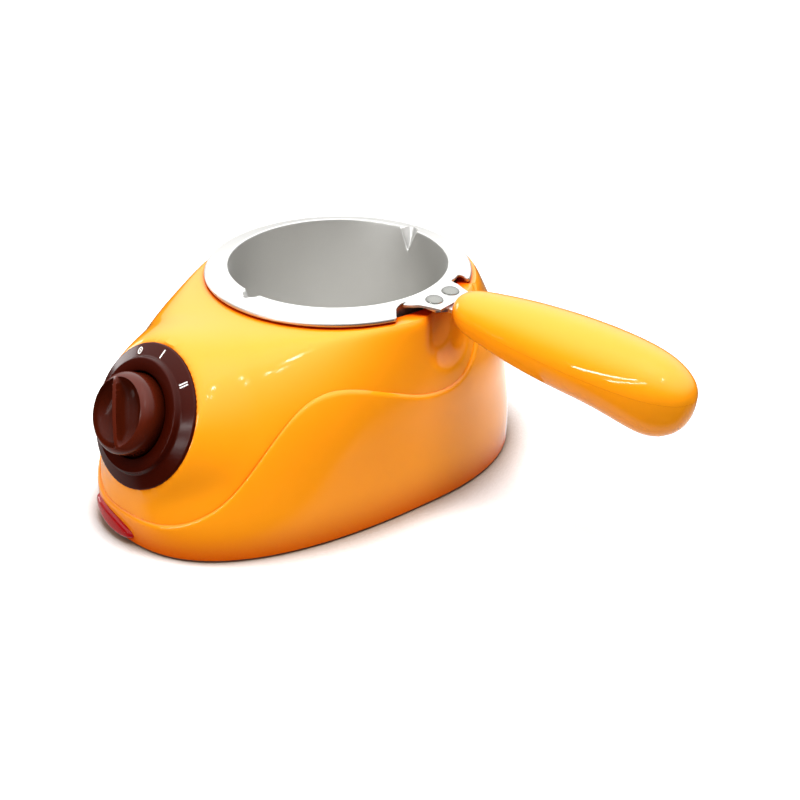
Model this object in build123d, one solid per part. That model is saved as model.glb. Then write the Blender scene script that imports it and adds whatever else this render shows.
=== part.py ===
from build123d import *
import math
import os

# Electric chocolate melting pot. Lengths are in mm.
# The pot's axis is the Z axis, the table is Z = 0 and the knob faces -Y.

# Pot
pot_depth = 46.0
pot_gauge = 1.2
pot_base_radius = 43.0
pot_mouth_radius = 45.3
pot_corner = 7.0
flange_radius = pot_mouth_radius + 9.7
flange_drop = 2.4
bead_radius = 1.2
lip_half_width = 5.2
lip_height = 11.0

# Egg-shaped base, whose reaches follow the flange
foot_height = 1.0
base_half_width = flange_radius + 5.0
base_rear_reach = flange_radius + 22.5
base_front_reach = flange_radius + 58.2
shell_wall = 2.4
lip_margin = 1.9
front_lip_margin = 4.0
wave_step = 1.1
EGG_POINTS = 16
# Height share, then how far the width, rear and front are from top (0) to base (1), then rear and front powers
EGG_SECTIONS = [
    (0.000, 0.90, 0.98, 0.985, 2.20, 2.50),
    (0.130, 1.00, 1.00, 1.000, 2.20, 2.50),
    (0.330, 0.98, 0.95, 0.970, 2.18, 2.42),
    (0.6227, 0.87, 0.74, 0.818, 2.12, 2.22),
    (0.900, 0.55, 0.26, 0.572, 2.00, 1.75),
    (0.968, 0.42, 0.09, 0.323, 2.00, 1.75),
    (1.000, 0.00, 0.00, 0.000, 2.00, 2.00),
]
DIAL_SECTION = 3

# Moulded wave along each side, as (Y, Z) points from the front to the rear
WAVE_POINTS = [(-122, 12.4), (-104, 18.5), (-84, 38), (-66, 57.5), (-47, 63.3), (-20, 56), (4, 49.5), (20, 54.5), (30, 68), (35, 92)]

# Fits
fit_gap = 0.2
seat_gap = 0.2
running_gap = 0.05
flange_gap = 0.8

# Bottom cover, feet and its screws
cover_thickness = 2.5
foot_radius = 6.0
foot_recess = 1.0
# Shares of the half width and of the reach, in front and behind
FOOT_SHARES = [(0.533, 0.671), (0.383, 0.671)]
COVER_SCREW_SHARES = [(0.75, 0.459), (0.65, 0.606)]
post_radius = 4.0
post_rib = 2.0
screw_radius = 1.5
screw_depth = 12.0
screw_head_radius = 2.9
screw_head_height = 1.6

# Heater stack, from the posts up to the plate
stack_height = 34.0
shield_gauge = 0.8
shield_radius = flange_radius - 5.2
shield_top_gap = 1.0
insulation_thickness = 1.2
plate_radius = pot_base_radius - 0.5
plate_thickness = 4.8
insulation_hole_radius = plate_radius - 11.5
shield_hole_radius = insulation_hole_radius - 1.0
plate_screw_circle = plate_radius - 6.5
plate_post_radius = 4.2
plate_screw_length = 15.0
block_size = (18.0, 16.0, 5.0)
block_spacing = 22.0
clamp_gauge = 1.0
clamp_width = 10.0
clamp_boss_radius = 3.2
clamp_boss_place = 25.2
thermostat_radius = 7.0
thermostat_height = 6.0
thermostat_place = 18.0
fuse_radius = 2.0
fuse_length = 11.0
fuse_place = 15.0
fuse_lead_radius = 0.5

# Dial, knob and rotary switch, measured along the dial's own axis
dial_tilt = 25.3
seat_depth = 2.0
pad_margin = 0.4
pad_depth = 16.0
pad_spread = 6.6
dial_radius = 29.0
dial_rim_height = 1.0
dial_cone_rise = 2.2
tier_radius = 22.6
tier_height = 5.6
recess_floor = 2.4
knob_radius = 16.4
knob_height = 13.4
knob_edge = 4.0
knob_recess_gap = 0.7
knob_floor_gap = 0.5
knob_rest_turn = 28.0
blade_thickness = 3.6
pocket_depth = 7.0
pocket_rim = 2.0
pocket_corner = 1.5
pocket_floor_curve = 3.0
knob_web = 1.4
shaft_radius = 3.0
shaft_flat = 2.3
bushing_radius = 4.75
nut_flats = 14.0
nut_height = 2.4
switch_radius = 10.5
switch_depth = 14.0
terminal_size = (6.0, 0.8, 7.0)

# Lamp
lamp_place = -11.0
lamp_height = 6.4
lens_fall = 9.0
lens_half_length = 15.4
lens_half_height = 3.7
lens_proud = 2.0
lens_cut_depth = 16.0
lamp_holder_depth = 9.0
lamp_holder_size = (18.0, 8.0, 7.0)
neon_radius = 2.2
neon_length = 15.0

# Mains inlet at the rear
inlet_height = 15.0
cord_radius = 3.2
gland_neck_radius = 5.0
gland_flange_radius = 7.2
gland_flange_thickness = 1.8
terminal_block_size = (26.0, 14.0, 11.0)
terminal_block_place = base_rear_reach - 29.5
cord_clamp_size = (24.0, 8.0, 3.0)
cord_clamp_place = base_rear_reach - 14.5
cord_clamp_screw_place = 8.5

# Handle
handle_azimuth = 9.5
handle_droop = 4.5
# Half outlines past the pot's mouth, as (distance, half width) points
TAB_EDGE = [(0.8, 13.8), (4.7, 13.6), (10.7, 11.2), (14.9, 9.7)]
NOTCH_EDGE = [(1.3, 12.0), (0.4, 15.4), (0.4, 19.8), (24.4, 43.8)]
rivet_offset = 8.3
rivet_spacing = 10.6
rivet_radius = 1.8
rivet_head_radius = 3.7
rivet_head_height = 1.5
bracket_gauge = 1.5
bracket_width = 19.0
bracket_offset = 4.3
bracket_shoulder = 3.0
tang_width = 11.0
tang_length = 46.0
handle_offset = 15.5
handle_length = 110.0
# Distance from the nose, half width and top, depth of the underside
HANDLE_PROFILE = [
    (0.7, 3.8, 3.8),
    (3.4, 6.9, 6.9),
    (13.0, 10.2, 10.2),
    (29.0, 12.8, 12.8),
    (50.0, 14.9, 14.9),
    (74.0, 15.5, 16.8),
    (85.0, 14.9, 19.0),
    (94.0, 13.5, 19.8),
    (103.0, 10.1, 16.0),
    (108.4, 5.2, 8.6),
]
handle_screw_places = [20.0, 68.0]
handle_screw_seat = 5.0

# Scoop in the base that clears the root of the handle
scoop_floor_radius = flange_radius - 1.6
scoop_half_width = 8.0
scoop_flare = 35.0
scoop_reach = 20.0
scoop_bottom = 60.0

# Heights that follow from the stack
cover_top = foot_height + cover_thickness
shield_floor_top = stack_height + shield_gauge
plate_bottom = shield_floor_top + insulation_thickness
plate_top = plate_bottom + plate_thickness
pot_bottom = plate_top + seat_gap
rim_height = pot_bottom + pot_gauge + pot_depth
bead_height = rim_height - flange_drop - bead_radius
lip_height_z = bead_height - bead_radius - flange_gap
post_top = lip_height_z - 8.6
bushing_top = recess_floor + nut_height + 0.6
knob_low = recess_floor + knob_floor_gap
knob_high = knob_low + knob_height
shaft_top = knob_high - pocket_depth - knob_web
rivet_dome_radius = (rivet_head_radius ** 2 + rivet_head_height ** 2) / (2 * rivet_head_height)


def blend(top, base, share):
    return top + (base - top) * share


def corner_places(shares):
    """Two places in front and two behind, from shares of the base's half width and reaches."""
    places = []
    for (width_share, reach_share), reach in zip(shares, (-base_front_reach, base_rear_reach)):
        for side in (-1, 1):
            places.append((side * width_share * base_half_width, reach_share * reach))
    return places


foot_places = corner_places(FOOT_SHARES)
cover_screw_places = corner_places(COVER_SCREW_SHARES)


def egg_edge(section, grow, shift):
    """One closed outline of the base, grown outwards and shifted up."""
    share, width_share, rear_share, front_share, rear_power, front_power = section
    half_width = blend(flange_radius + lip_margin, base_half_width, width_share) + grow
    rear = blend(flange_radius + lip_margin, base_rear_reach, rear_share) + grow
    front = blend(flange_radius + front_lip_margin, base_front_reach, front_share) + grow
    height = blend(foot_height, lip_height_z, share) + shift
    points = []
    for i in range(EGG_POINTS):
        angle = math.pi + 2 * math.pi * i / EGG_POINTS
        across, along = math.cos(angle), math.sin(angle)
        reach, power = (rear, rear_power) if along >= 0 else (front, front_power)
        x = half_width * math.copysign(abs(across) ** (2 / power), across)
        y = reach * math.copysign(abs(along) ** (2 / power), along)
        points.append((x, y, height))
    return Spline(*points, periodic=True)


def egg_solid(grow, shift=0.0, open_below=False):
    """The egg-shaped volume, grown outwards; open_below lengthens it under the foot."""
    faces = [make_face(egg_edge(section, grow, shift)) for section in EGG_SECTIONS]
    solid = loft(faces)
    if open_below:
        first = make_face(egg_edge(EGG_SECTIONS[0], grow, shift))
        solid = solid + extrude(first, amount=-(2 * shell_wall + foot_height))
    return solid


def front_reach_at_dial():
    share = EGG_SECTIONS[DIAL_SECTION][3]
    return blend(flange_radius + front_lip_margin, base_front_reach, share) - wave_step


dial_z = blend(foot_height, lip_height_z, EGG_SECTIONS[DIAL_SECTION][0])
tilt = math.radians(dial_tilt)
dial_plane = Plane(
    origin=(0, -(front_reach_at_dial() - seat_depth), dial_z),
    x_dir=(1, 0, 0),
    z_dir=(0, -math.cos(tilt), math.sin(tilt)),
)
FAR = 400.0


def disc(radius, bottom, top, x=0.0, y=0.0):
    return Pos(x, y, (bottom + top) / 2) * Cylinder(radius, top - bottom)


def block(size, center):
    return Pos(*center) * Box(*size)


def around(count, radius, start=0.0):
    """Places spread evenly on a circle."""
    turns = [math.radians(start + 360 * i / count) for i in range(count)]
    return [(radius * math.cos(turn), radius * math.sin(turn)) for turn in turns]


def handle_frame(distance, height):
    """A plane on the handle's drooping axis: X along the handle, Z up out of it."""
    azimuth = math.radians(handle_azimuth)
    droop = math.radians(handle_droop)
    outward = (math.cos(azimuth) * math.cos(droop), math.sin(azimuth) * math.cos(droop), -math.sin(droop))
    upward = (math.cos(azimuth) * math.sin(droop), math.sin(azimuth) * math.sin(droop), math.cos(droop))
    origin = (distance * math.cos(azimuth), distance * math.sin(azimuth), height)
    return Plane(origin=origin, x_dir=outward, z_dir=upward)


# The tab's underside starts at the mouth of the pot and falls along the handle
tab_plane = handle_frame(pot_mouth_radius, rim_height - pot_gauge)
plate_screws_xy = around(3, plate_screw_circle, 90)


# Upper shell

def scoop_tool(offset):
    """A flared, round-bottomed groove by the handle's root; offset moves its walls outwards."""
    half_width = scoop_half_width + offset
    floor = scoop_floor_radius - offset
    low = scoop_bottom - offset
    tall = rim_height
    outline = Plane(origin=(floor, 0, 0), x_dir=(0, 1, 0), z_dir=(1, 0, 0))
    profile = Pos(0, low + half_width) * Circle(half_width)
    profile = profile + Pos(0, low + half_width + tall / 2) * Rectangle(2 * half_width, tall)
    return Rot(0, 0, handle_azimuth) * extrude(outline * profile, amount=scoop_reach, taper=-scoop_flare)


def wave_region():
    """Everything below the moulded wave, right across the base."""
    wave = Spline(*[(y, z) for y, z in WAVE_POINTS])
    start, end = WAVE_POINTS[0], WAVE_POINTS[-1]
    below = -2 * foot_height
    sides = Polyline(end, (FAR / 2, end[1]), (FAR / 2, below), (start[0], below), start)
    side_view = Plane(origin=(-FAR / 4, 0, 0), x_dir=(0, 1, 0), z_dir=(1, 0, 0))
    return extrude(side_view * make_face([wave, sides]), amount=FAR / 2)


seat_cutter = dial_plane * (Pos(0, 0, FAR / 4) * Box(FAR / 2, FAR / 2, FAR / 2))
wall_behind_seat = dial_plane * (Pos(0, 0, FAR / 4 - shell_wall) * Box(FAR / 2, FAR / 2, FAR / 2))



def dial_pad(offset, depth):
    """The conical pad under the dial; offset moves its side inwards."""
    top_radius = dial_radius + pad_margin - offset
    base_radius = top_radius + pad_spread * depth / pad_depth
    return dial_plane * (Pos(0, 0, -depth / 2) * Cone(base_radius, top_radius, depth))


panel_body = egg_solid(-wave_step) - seat_cutter - scoop_tool(0) + dial_pad(0, pad_depth)
inner_grow = -(wave_step + shell_wall)
cavity = egg_solid(inner_grow, -shell_wall, open_below=True) + dial_pad(shell_wall, pad_depth - 2 * shell_wall)
cavity = cavity - wall_behind_seat - scoop_tool(shell_wall)
# The skirt below the wave is a second layer, sunk half the wall into the panel behind it
skirt_layer = (egg_solid(0) & wave_region()) - egg_solid(-wave_step - shell_wall / 2, -shell_wall / 2, open_below=True)
skirt_layer = skirt_layer - scoop_tool(0)


def screw_post(x, y):
    outward = math.copysign(1, x)
    tall = post_top - cover_top
    post = disc(post_radius, cover_top, post_top, x, y)
    rib_reach = base_half_width - abs(x)
    rib = block((rib_reach, post_rib, tall), (x + outward * rib_reach / 2, y, cover_top + tall / 2))
    return post + rib


upper_shell = panel_body - cavity
posts = [screw_post(x, y) & panel_body for x, y in cover_screw_places]
for post in posts:
    upper_shell = upper_shell + post
for x, y in cover_screw_places:
    upper_shell = upper_shell - disc(screw_radius, cover_top - 1, cover_top + screw_depth, x, y)
upper_shell = upper_shell + skirt_layer
opening_radius = shield_radius - shield_gauge
upper_shell = upper_shell - disc(opening_radius, stack_height, lip_height_z + 5)
upper_shell = upper_shell - dial_plane * Cylinder(bushing_radius + fit_gap, 4 * shell_wall)


# Lamp lens

def lens_prism(half_length, half_height, y_near, y_far):
    sketch_plane = Plane(origin=(lamp_place, y_near, lamp_height), x_dir=(1, 0, 0), z_dir=(0, -1, 0))
    outline = Rot(0, 0, -lens_fall) * Ellipse(half_length, half_height)
    return extrude(sketch_plane * outline, amount=y_near - y_far)


lens_front = -(base_front_reach + 3 * lens_proud)
lens_back = -(base_front_reach - lens_cut_depth)
upper_shell = upper_shell - lens_prism(lens_half_length, lens_half_height, lens_back, lens_front)
lamp_lens = lens_prism(lens_half_length - fit_gap / 2, lens_half_height - fit_gap / 2, lens_back, lens_front)
lamp_lens = (lamp_lens & egg_solid(lens_proud)) - cavity

# Mains inlet: hole, gland
inlet_axis = Plane(origin=(0, base_rear_reach, inlet_height), x_dir=(1, 0, 0), z_dir=(0, 1, 0))
upper_shell = upper_shell - inlet_axis * Cylinder(gland_neck_radius, 8 * shell_wall)


def cord_gland_part():
    length = shell_wall + wave_step + 2 * gland_flange_thickness + 1
    near = -(shell_wall + wave_step + gland_flange_thickness + 1)
    neck = Pos(0, 0, near + length / 2) * Cylinder(gland_neck_radius - fit_gap / 2, length)
    outside = Pos(0, 0, -1 + (gland_flange_thickness + 1) / 2) * Cylinder(gland_flange_radius, gland_flange_thickness + 1)
    inside = Pos(0, 0, near + gland_flange_thickness / 2) * Cylinder(gland_flange_radius, gland_flange_thickness)
    gland = inlet_axis * (neck + outside + inside - Cylinder(cord_radius, 4 * length))
    return gland - upper_shell


cord_gland = cord_gland_part()


# Bottom cover with its posts, feet and screws

def bottom_cover_part():
    room = egg_solid(inner_grow - fit_gap, -shell_wall, open_below=True)
    cover = room & block((FAR, FAR, cover_thickness), (0, 0, foot_height + cover_thickness / 2))
    for x, y in plate_screws_xy:
        cover = cover + disc(plate_post_radius, cover_top, stack_height, x, y)
        cover = cover - disc(screw_radius, stack_height - plate_screw_length, stack_height + 1, x, y)
    for x, y in foot_places:
        cover = cover - disc(foot_radius, foot_height - 1, foot_height + foot_recess, x, y)
    for x, y in cover_screw_places:
        cover = cover - disc(screw_radius + fit_gap, foot_height - 1, cover_top + 1, x, y)
        cover = cover - disc(screw_head_radius + fit_gap, foot_height - 1, foot_height + screw_head_height, x, y)
    for x in (-cord_clamp_screw_place, cord_clamp_screw_place):
        boss_top = inlet_height - cord_radius
        cover = cover + disc(post_radius, cover_top, boss_top, x, cord_clamp_place)
        cover = cover - disc(screw_radius, cover_top, boss_top + 1, x, cord_clamp_place)
    return cover


bottom_cover = bottom_cover_part()
rubber_feet = [disc(foot_radius, 0, foot_height + foot_recess, x, y) for x, y in foot_places]


def pan_screw(x, y, head_low, head_high, tip):
    """A round-headed screw along Z, with its head first and its tip at the other end."""
    head = disc(screw_head_radius, min(head_low, head_high), max(head_low, head_high), x, y)
    shank = disc(screw_radius, min(head_high, tip), max(head_high, tip), x, y)
    return head + shank


cover_screws = [
    pan_screw(x, y, foot_height, foot_height + screw_head_height, cover_top + screw_depth - 1)
    for x, y in cover_screw_places
]

# Heat shield, insulation, heater plate and its screws
shield_top = lip_height_z - shell_wall - shield_top_gap
shield_cup = disc(shield_radius, stack_height, shield_top)
shield_cup = shield_cup - disc(shield_radius - shield_gauge, shield_floor_top, shield_top + 1)
heat_shield = shield_cup - disc(shield_hole_radius, stack_height - 1, shield_floor_top + 1)
insulating_ring = disc(plate_radius + 1, shield_floor_top, plate_bottom)
insulating_ring = insulating_ring - disc(insulation_hole_radius, shield_floor_top - 1, plate_bottom + 1)
heater_plate = disc(plate_radius, plate_bottom, plate_top)
block_bottom = plate_bottom - block_size[2]
for x in (-clamp_boss_place, clamp_boss_place):
    heater_plate = heater_plate + disc(clamp_boss_radius, block_bottom, plate_bottom, x, 0)
    heater_plate = heater_plate - disc(screw_radius, block_bottom - 1, plate_bottom + 1, x, 0)


def countersunk(x, y, radius_gap):
    """A countersunk screw's outline, whose head is flush with the heater plate."""
    head_top = screw_head_radius + radius_gap
    head = Pos(x, y, plate_top - screw_head_height / 2) * Cone(screw_radius + radius_gap, head_top, screw_head_height)
    return head + disc(screw_radius + radius_gap, stack_height, plate_top - screw_head_height, x, y)


plate_screws = []
for x, y in plate_screws_xy:
    clearance = countersunk(x, y, fit_gap / 2)
    heater_plate = heater_plate - clearance
    insulating_ring = insulating_ring - clearance
    heat_shield = heat_shield - clearance
    thread = disc(screw_radius, stack_height - plate_screw_length + 1, stack_height, x, y)
    plate_screws.append(countersunk(x, y, 0) + thread)

heater_blocks = [
    block(block_size, (x, 0, plate_bottom - block_size[2] / 2)) for x in (-block_spacing / 2, block_spacing / 2)
]
clamp_length = 2 * (clamp_boss_place + clamp_boss_radius)
element_clamp = block((clamp_length, clamp_width, clamp_gauge), (0, 0, block_bottom - clamp_gauge / 2))
for x in (-clamp_boss_place, clamp_boss_place):
    element_clamp = element_clamp - disc(screw_radius + fit_gap, block_bottom - 3, block_bottom + 1, x, 0)
clamp_low = block_bottom - clamp_gauge
clamp_screws = [
    pan_screw(x, 0, clamp_low - screw_head_height, clamp_low, plate_bottom - 1)
    for x in (-clamp_boss_place, clamp_boss_place)
]
thermostat = disc(thermostat_radius, plate_bottom - thermostat_height, plate_bottom, 0, thermostat_place)
for x in (-thermostat_radius / 2, thermostat_radius / 2):
    low = plate_bottom - thermostat_height - terminal_size[2]
    tab = block((terminal_size[1], terminal_size[0], terminal_size[2]), (x, thermostat_place, low + terminal_size[2] / 2))
    thermostat = thermostat + tab
fuse_axis = Plane(origin=(0, -fuse_place, plate_bottom - fuse_radius - fit_gap / 2), x_dir=(0, 1, 0), z_dir=(1, 0, 0))
thermal_fuse = fuse_axis * Cylinder(fuse_radius, fuse_length)
thermal_fuse = thermal_fuse + fuse_axis * Cylinder(fuse_lead_radius, 3 * fuse_length)


# Dial, knob, shaft and switch

def turned(points):
    """A body turned about the dial's axis from its (radius, height) outline."""
    outline = make_face(Polyline(*points, close=True))
    return revolve(Plane.XZ * outline, Axis.Z)


def dial_plate_part():
    recess = knob_radius + knob_recess_gap
    profile = [
        (bushing_radius + fit_gap, 0),
        (bushing_radius + fit_gap, recess_floor),
        (recess, recess_floor),
        (recess, tier_height),
        (tier_radius, tier_height),
        (tier_radius + 0.8, tier_height - 0.8),
        (tier_radius + 0.8, dial_rim_height + dial_cone_rise),
        (dial_radius, dial_rim_height),
        (dial_radius, 0),
    ]
    return dial_plane * turned(profile)


dial_plate = dial_plate_part()


def knob_part():
    body = Pos(0, 0, (knob_low + knob_high) / 2) * Cylinder(knob_radius, knob_height)
    body = fillet(body.edges().group_by(Axis.Z)[-1], knob_edge)
    for side in (-1, 1):
        beside_blade = Pos(side * (blade_thickness / 2 + knob_radius), 0) * Rectangle(2 * knob_radius, 2 * knob_radius)
        outline = Circle(knob_radius - pocket_rim) & beside_blade
        outline = fillet(outline.vertices(), pocket_corner)
        pocket = Pos(0, 0, knob_high - pocket_depth) * extrude(outline, amount=2 * pocket_depth)
        body = body - fillet(pocket.edges().group_by(Axis.Z)[0], pocket_floor_curve)
    nut_room = bushing_radius + nut_flats / 3
    body = body - disc(nut_room, knob_low - 1, bushing_top + knob_floor_gap)
    bore = disc(shaft_radius + fit_gap / 2, knob_low - 1, shaft_top + fit_gap / 2)
    flat = block((FAR / 10, FAR / 10, FAR / 10), (0, shaft_flat + fit_gap / 2 + FAR / 20, 0))
    return body - (bore - flat)


def shaft_part():
    low = -(shell_wall + switch_depth / 2)
    shaft = disc(shaft_radius, low, shaft_top)
    flat_low = knob_low
    flat = block((FAR / 10, FAR / 10, FAR / 10), (0, shaft_flat + FAR / 20, flat_low + FAR / 20))
    return shaft - flat


rest_turn = Rot(0, 0, knob_rest_turn)
knob = dial_plane * (rest_turn * knob_part())
switch_shaft = dial_plane * (rest_turn * shaft_part())


def switch_part():
    middle = -(shell_wall + switch_depth / 2)
    back = -(shell_wall + switch_depth)
    body = disc(switch_radius, back, -shell_wall)
    bushing = disc(bushing_radius, -shell_wall, bushing_top)
    bore = disc(shaft_radius + running_gap, middle - running_gap, bushing_top + 1)
    switch = body + bushing
    for y in (-switch_radius / 2, 0, switch_radius / 2):
        terminal = block(terminal_size, (0, y, back - terminal_size[2] / 2))
        switch = switch + terminal
    return switch - bore


rotary_switch = dial_plane * switch_part()
nut_sketch = RegularPolygon(nut_flats / 2, 6, major_radius=False) - Circle(bushing_radius)
switch_nut = dial_plane * (Pos(0, 0, recess_floor) * extrude(nut_sketch, amount=nut_height))

# Lamp holder and neon lamp behind the lens
holder_front = -(base_front_reach - lamp_holder_depth)
holder_center = (lamp_place, holder_front + lamp_holder_size[1] / 2, cover_top + lamp_holder_size[2] / 2)
neon_axis = Plane(origin=holder_center, x_dir=(0, 1, 0), z_dir=(1, 0, 0))
lamp_holder = block(lamp_holder_size, holder_center)
lamp_holder = lamp_holder - neon_axis * Cylinder(neon_radius, 2 * lamp_holder_size[0])
neon_lamp = neon_axis * Cylinder(neon_radius, neon_length)


# Terminal block and cord clamp on the cover

def terminal_block_part():
    length, depth, height = terminal_block_size
    body = block(terminal_block_size, (0, terminal_block_place, cover_top + height / 2))
    for x in (-length / 3, 0, length / 3):
        body = body - disc(depth / 7, cover_top + height / 2, cover_top + height + 1, x, terminal_block_place)
    return body


terminal_block = terminal_block_part()
clamp_bar_low = inlet_height - cord_radius
cord_clamp = block(cord_clamp_size, (0, cord_clamp_place, clamp_bar_low + cord_clamp_size[2] / 2))
for x in (-cord_clamp_screw_place, cord_clamp_screw_place):
    cord_clamp = cord_clamp - disc(screw_radius + fit_gap, clamp_bar_low - 1, clamp_bar_low + 9, x, cord_clamp_place)
clamp_bar_top = clamp_bar_low + cord_clamp_size[2]
cord_clamp_screws = [
    pan_screw(x, cord_clamp_place, clamp_bar_top + screw_head_height, clamp_bar_top, cover_top + 1)
    for x in (-cord_clamp_screw_place, cord_clamp_screw_place)
]


# Pot with its flange, pouring lips and handle tab

def pot_part():
    inner_base = pot_base_radius - pot_gauge
    floor_top = pot_bottom + pot_gauge
    under_rim = rim_height - pot_gauge
    neck = pot_mouth_radius + pot_gauge
    flange_inner = (pot_mouth_radius, rim_height)
    flange_outer = flange_radius - bead_radius
    profile = [
        (0, pot_bottom),
        (pot_base_radius, pot_bottom),
        (neck, under_rim),
        (flange_outer, under_rim - flange_drop),
        (flange_outer, rim_height - flange_drop),
        flange_inner,
        (inner_base, floor_top),
        (0, floor_top),
    ]
    outline = make_face(Polyline(*profile, close=True))
    corners = outline.vertices()
    outside_corner = corners.sort_by_distance((pot_base_radius, pot_bottom, 0))[0]
    outline = fillet(outside_corner, pot_corner)
    inside_corner = outline.vertices().sort_by_distance((inner_base, floor_top, 0))[0]
    outline = fillet(inside_corner, pot_corner - pot_gauge)
    bowl = revolve(Plane.XZ * outline, Axis.Z)
    bead = Pos(0, 0, bead_height) * Torus(flange_radius - bead_radius, bead_radius)
    pot = bowl + bead
    over_flange = [flange_inner, (flange_outer, rim_height - flange_drop), (flange_outer, rim_height)]
    over_flange = revolve(Plane.XZ * make_face(Polyline(*over_flange, close=True)), Axis.Z)
    for side in (-1, 1):
        lip_place = Pos(0, side * (pot_mouth_radius - 0.4), rim_height - lip_height / 2)
        pot = pot + (lip_place * Cone(pot_gauge, lip_half_width + pot_gauge, lip_height) - over_flange)
    above = rim_height + 1
    room = [(0, floor_top), (inner_base, floor_top), flange_inner, (pot_mouth_radius, above), (0, above)]
    room = make_face(Polyline(*room, close=True))
    inside_corner = room.vertices().sort_by_distance((inner_base, floor_top, 0))[0]
    room = fillet(inside_corner, pot_corner - pot_gauge)
    pot = pot - revolve(Plane.XZ * room, Axis.Z)
    for side in (-1, 1):
        lip_place = Pos(0, side * (pot_mouth_radius - 0.4), rim_height - lip_height / 2 + 0.5)
        pot = pot - lip_place * Cone(0.2, lip_half_width, lip_height + 1)
    return pot


def mirrored_outline(half_edge):
    """A face on both sides of the handle's axis, from the (distance, half width) points of one side."""
    other_side = [(x, -y) for x, y in reversed(half_edge)]
    return make_face(Polyline(*half_edge, *other_side, close=True))


def notch_tool():
    """Cuts the flange away on both sides of the tab."""
    tall = 2 * lip_height
    return tab_plane * (Pos(0, 0, -tall / 2) * extrude(mirrored_outline(NOTCH_EDGE), amount=tall))


pot = pot_part() - notch_tool()
pot_tab = tab_plane * extrude(mirrored_outline(TAB_EDGE), amount=pot_gauge)
pot = pot + pot_tab

# Bracket, rivets and handle
bracket_low = -bracket_gauge
rivet_places = [(rivet_offset, side * rivet_spacing / 2) for side in (-1, 1)]


def bracket_part():
    shoulder = handle_offset - fit_gap
    half_edge = [
        (bracket_offset, bracket_width / 2),
        (shoulder - bracket_shoulder, bracket_width / 2),
        (shoulder, tang_width / 2),
        (shoulder + tang_length, tang_width / 2),
    ]
    return Pos(0, 0, bracket_low) * extrude(mirrored_outline(half_edge), amount=bracket_gauge)


def rivet(x, y):
    shank_low = bracket_low - rivet_head_height / 2
    shank = disc(rivet_radius, shank_low, pot_gauge, x, y)
    dome = Pos(x, y, pot_gauge + rivet_head_height - rivet_dome_radius) * Sphere(rivet_dome_radius)
    dome = dome & disc(rivet_head_radius + 1, pot_gauge, pot_gauge + 2 * rivet_head_height, x, y)
    shop_head = disc(1.5 * rivet_radius, bracket_low - rivet_head_height / 2, bracket_low, x, y)
    return shank + dome + shop_head


rivet_holes = [disc(rivet_radius, -2 * bracket_gauge, 2 * pot_gauge, x, y) for x, y in rivet_places]
for hole in rivet_holes:
    pot = pot - tab_plane * hole
tang_middle = bracket_low + bracket_gauge / 2


def upper_handle_body():
    side = Spline((0, 0), *[(x, radius) for x, radius, depth in HANDLE_PROFILE], (handle_length, 0))
    outline = make_face([side, Line((handle_length, 0), (0, 0))])
    return revolve(outline, Axis.X)


def lower_handle_body():
    """Elliptical sections along the handle, deeper than they are wide towards its end."""
    sections = [Vertex(0, 0, 0)]
    for x, radius, depth in HANDLE_PROFILE:
        across = Plane(origin=(x, 0, 0), x_dir=(0, 1, 0), z_dir=(1, 0, 0))
        sections.append(make_face((across * Ellipse(radius, depth)).edges()))
    sections.append(Vertex(handle_length, 0, 0))
    return loft(sections)


def handle_halves():
    pocket = block(
        (2 * tang_length + 2 * fit_gap, tang_width + fit_gap, bracket_gauge + fit_gap),
        (0, 0, 0),
    )
    upper = (upper_handle_body() & block((FAR, FAR, FAR), (0, 0, FAR / 2))) - pocket
    lower = (lower_handle_body() & block((FAR, FAR, FAR), (0, 0, -FAR / 2))) - pocket
    screws = []
    for x in handle_screw_places:
        upper = upper - disc(screw_radius, -1, handle_screw_seat + 3, x, 0)
        lower = lower - disc(screw_radius + fit_gap, -handle_screw_seat - 1, 1, x, 0)
        lower = lower - disc(screw_head_radius + fit_gap, -FAR / 4, -handle_screw_seat, x, 0)
        head_low = -handle_screw_seat - screw_head_height
        screws.append(pan_screw(x, 0, head_low, -handle_screw_seat, handle_screw_seat + 2))
    return upper, lower, screws


handle_axis = tab_plane * Pos(handle_offset, 0, tang_middle)
upper_half, lower_half, screw_pair = handle_halves()
handle_upper_half = handle_axis * upper_half
handle_lower_half = handle_axis * lower_half
handle_screws = [handle_axis * screw for screw in screw_pair]
bracket = bracket_part()
for x, y in rivet_places:
    bracket = bracket - disc(rivet_radius, -2 * bracket_gauge, 1, x, y)
first_screw = handle_offset + handle_screw_places[0]
bracket = bracket - disc(screw_radius + fit_gap, -2 * bracket_gauge, 1, first_screw, 0)
handle_bracket = tab_plane * bracket
rivets = [tab_plane * rivet(x, y) for x, y in rivet_places]

nodes = {
    "upper_shell": upper_shell,
    "bottom_cover": bottom_cover,
    "rubber_feet": rubber_feet,
    "cover_screws": cover_screws,
    "dial_plate": dial_plate,
    "knob": knob,
    "switch_shaft": switch_shaft,
    "rotary_switch": rotary_switch,
    "switch_nut": switch_nut,
    "lamp_lens": lamp_lens,
    "lamp_holder": lamp_holder,
    "neon_lamp": neon_lamp,
    "heat_shield": heat_shield,
    "insulating_ring": insulating_ring,
    "heater_plate": heater_plate,
    "plate_screws": plate_screws,
    "heater_blocks": heater_blocks,
    "element_clamp": element_clamp,
    "clamp_screws": clamp_screws,
    "thermostat": thermostat,
    "thermal_fuse": thermal_fuse,
    "terminal_block": terminal_block,
    "cord_gland": cord_gland,
    "cord_clamp": cord_clamp,
    "cord_clamp_screws": cord_clamp_screws,
    "pot": pot,
    "handle_bracket": handle_bracket,
    "rivets": rivets,
    "handle_upper_half": handle_upper_half,
    "handle_lower_half": handle_lower_half,
    "handle_screws": handle_screws,
}

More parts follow.
